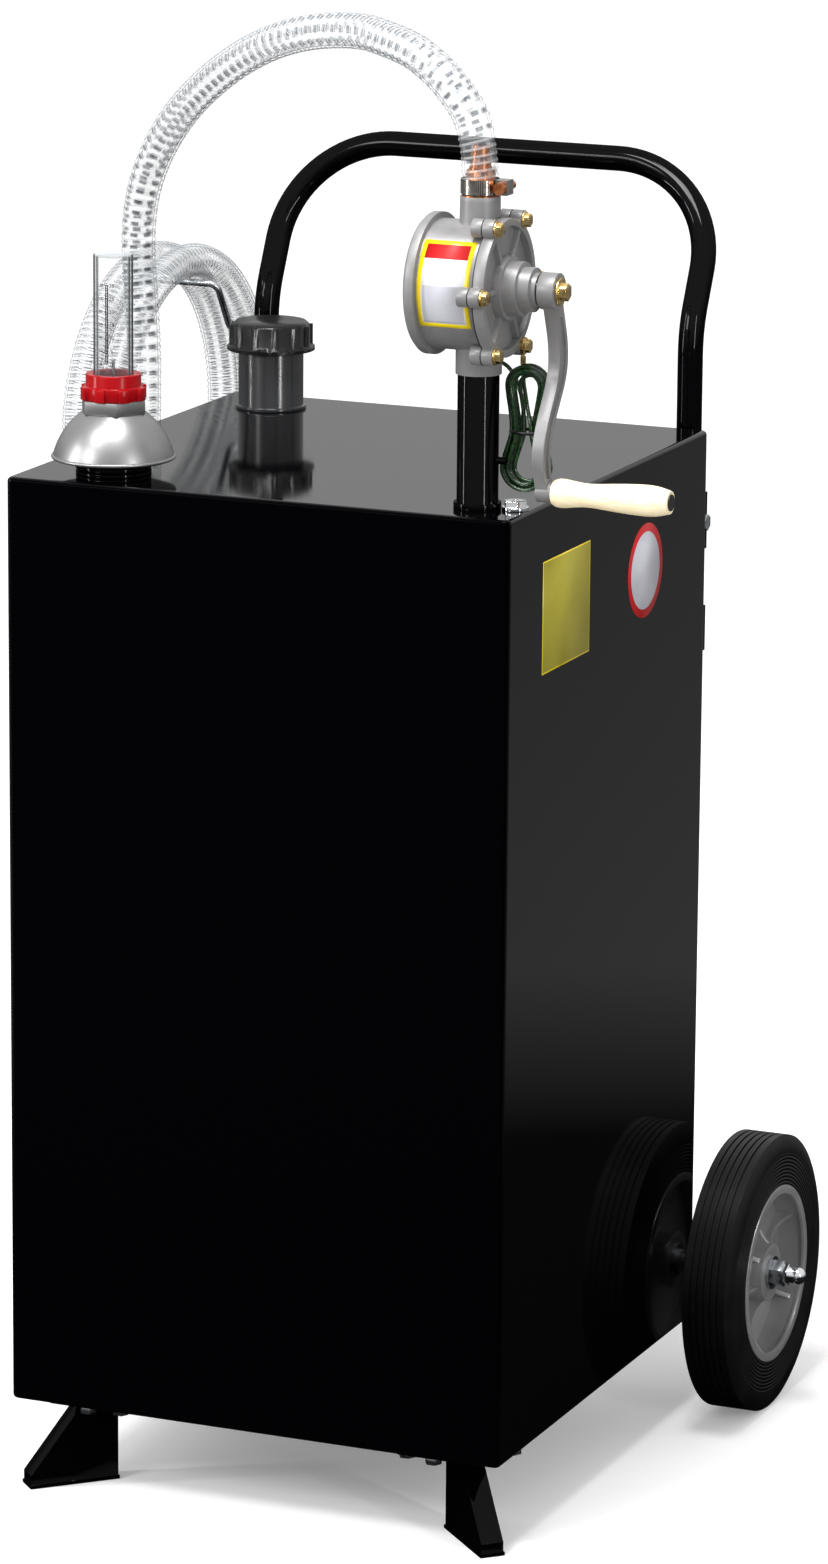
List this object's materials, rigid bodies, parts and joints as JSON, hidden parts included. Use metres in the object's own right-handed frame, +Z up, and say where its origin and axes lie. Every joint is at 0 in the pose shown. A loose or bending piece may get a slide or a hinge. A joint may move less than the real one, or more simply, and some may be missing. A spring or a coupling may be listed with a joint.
{
  "type": "fuel caddy",
  "caption": "Wheeled steel fuel tank with a hand-cranked rotary pump on a standpipe, clear ribbed hose with nozzle, float level gauge, screw filler cap and push handle.",
  "frame": {"origin": "on the floor, under the middle of the box that the caddy fills without its hose, nozzle and earth wire", "axes": "+X to the pump and crank side, the tank's front faces -Y, the wheels and handle are at +Y, +Z up"},
  "size_m": [0.6841, 0.623, 1.2657],
  "materials": {
    "black_steel": "gloss",
    "zinc_steel": "satin",
    "bright_chrome": "polished",
    "grey_casting": "satin",
    "satin_dome": "satin",
    "yellow_brass": "satin",
    "iron_rotor": "matte",
    "grey_rim": "satin",
    "black_tyre": "matte",
    "white_nylon": "satin",
    "black_rubber": "matte",
    "dark_cap": "satin",
    "black_plastic": "satin",
    "red_plastic": "gloss",
    "clear_vial": "polished",
    "pale_wood": "satin",
    "clear_hose": "gloss",
    "green_wire": "gloss"
  },
  "bodies": {
    "caddy": {"tank_shell": "black_steel", "foot_left": "black_steel", "foot_right": "black_steel", "axle_brackets": "black_steel", "handle_tube": "black_steel", "handle_brackets": "black_steel", "filler_neck": "black_steel", "gauge_collar": "black_steel", "stand_pipe": "black_steel", "foot_bolts": "zinc_steel", "axle": "zinc_steel", "axle_washers": "zinc_steel", "axle_nuts": "zinc_steel", "handle_bolts": "zinc_steel", "suction_tube": "zinc_steel", "strainer": "zinc_steel", "gauge_stem": "zinc_steel", "hose_clamps": "zinc_steel", "clamp_screws": "zinc_steel", "ground_clamp_fixed": "zinc_steel", "hose_hook": "zinc_steel", "axle_cap_nuts": "bright_chrome", "vent_plug": "bright_chrome", "pump_body": "grey_casting", "pump_cover": "grey_casting", "nozzle_body": "grey_casting", "gauge_dome": "satin_dome", "gauge_hex": "satin_dome", "cover_bolts": "yellow_brass", "hose_tail": "yellow_brass", "ground_lug": "yellow_brass", "shaft_seal": "black_rubber", "cover_gasket": "black_rubber", "gauge_nut": "red_plastic", "gauge_tube": "clear_vial", "hose": "clear_hose", "hose_coil": "clear_hose", "ground_wire_hank": "green_wire", "ground_wire_leads": "green_wire"},
    "wheel_left": {"tyre_left": "black_tyre", "rim_left": "grey_rim", "bush_left": "white_nylon"},
    "wheel_right": {"tyre_right": "black_tyre", "rim_right": "grey_rim", "bush_right": "white_nylon"},
    "crank": {"pump_shaft": "zinc_steel", "pump_rotor": "iron_rotor", "pump_vanes": "white_nylon", "crank_arm": "grey_casting", "crank_bolt": "zinc_steel", "grip_spindle": "zinc_steel"},
    "grip": {"wood_grip": "pale_wood", "grip_plug": "black_plastic"},
    "cap_ring": {"cap_seal": "black_rubber"},
    "cap": {"filler_cap": "dark_cap"},
    "float": {"float_arm": "zinc_steel", "float_ball": "white_nylon"},
    "indicator": {"indicator_rod": "zinc_steel"},
    "trigger": {"nozzle_trigger": "black_plastic"},
    "clamp_jaw": {"ground_clamp_jaw": "zinc_steel"}
  },
  "joints": [
    {"name": "wheel_left_spin", "type": "hinge", "parent": "caddy", "child": "wheel_left", "pos_m": [-0.2862, 0.18805, 0.1235], "axis": [1, 0, 0], "continuous": true},
    {"name": "wheel_right_spin", "type": "hinge", "parent": "caddy", "child": "wheel_right", "pos_m": [0.2578, 0.18805, 0.1235], "axis": [1, 0, 0], "continuous": true},
    {"name": "crank_turn", "type": "hinge", "parent": "caddy", "child": "crank", "pos_m": [0.2258, -0.24455, 1.062], "axis": [1, 0, 0], "continuous": true},
    {"name": "grip_turn", "type": "hinge", "parent": "crank", "child": "grip", "pos_m": [0.2858, -0.25655, 0.901], "axis": [1, 0, 0], "continuous": true},
    {"name": "cap_lift", "type": "slide", "parent": "caddy", "child": "cap_ring", "axis": [0, 0, 1], "range_m": [0, 0.012]},
    {"name": "cap_turn", "type": "hinge", "parent": "cap_ring", "child": "cap", "pos_m": [-0.1762, 0.10595, 0.941], "axis": [0, 0, 1], "range_deg": [0, 1080]},
    {"name": "float_swing", "type": "hinge", "parent": "caddy", "child": "float", "pos_m": [-0.20345, -0.22955, 0.481], "axis": [0, -1, 0], "range_deg": [0, 120]},
    {"name": "indicator_rise", "type": "slide", "parent": "caddy", "child": "indicator", "axis": [0, 0, 1], "range_m": [0, 0.0849]},
    {"name": "trigger_pull", "type": "hinge", "parent": "caddy", "child": "trigger", "pos_m": [-0.3212, -0.00955, 0.687], "axis": [-1, 0, 0], "range_deg": [0, 7], "stiffness_Nm_per_rad": 2, "springref_deg": -5.73},
    {"name": "clamp_open", "type": "hinge", "parent": "caddy", "child": "clamp_jaw", "pos_m": [0.1518, -0.20955, 0.932], "axis": [1, 0, 0], "range_deg": [0, 20], "stiffness_Nm_per_rad": 0.5, "springref_deg": -11.46}
  ],
  "couplings": [
    {"joint": "cap_lift", "follows": "cap_turn", "m_per_rad": 0.000636},
    {"joint": "indicator_rise", "follows": "float_swing", "m_per_rad": 0.040523}
  ]
}
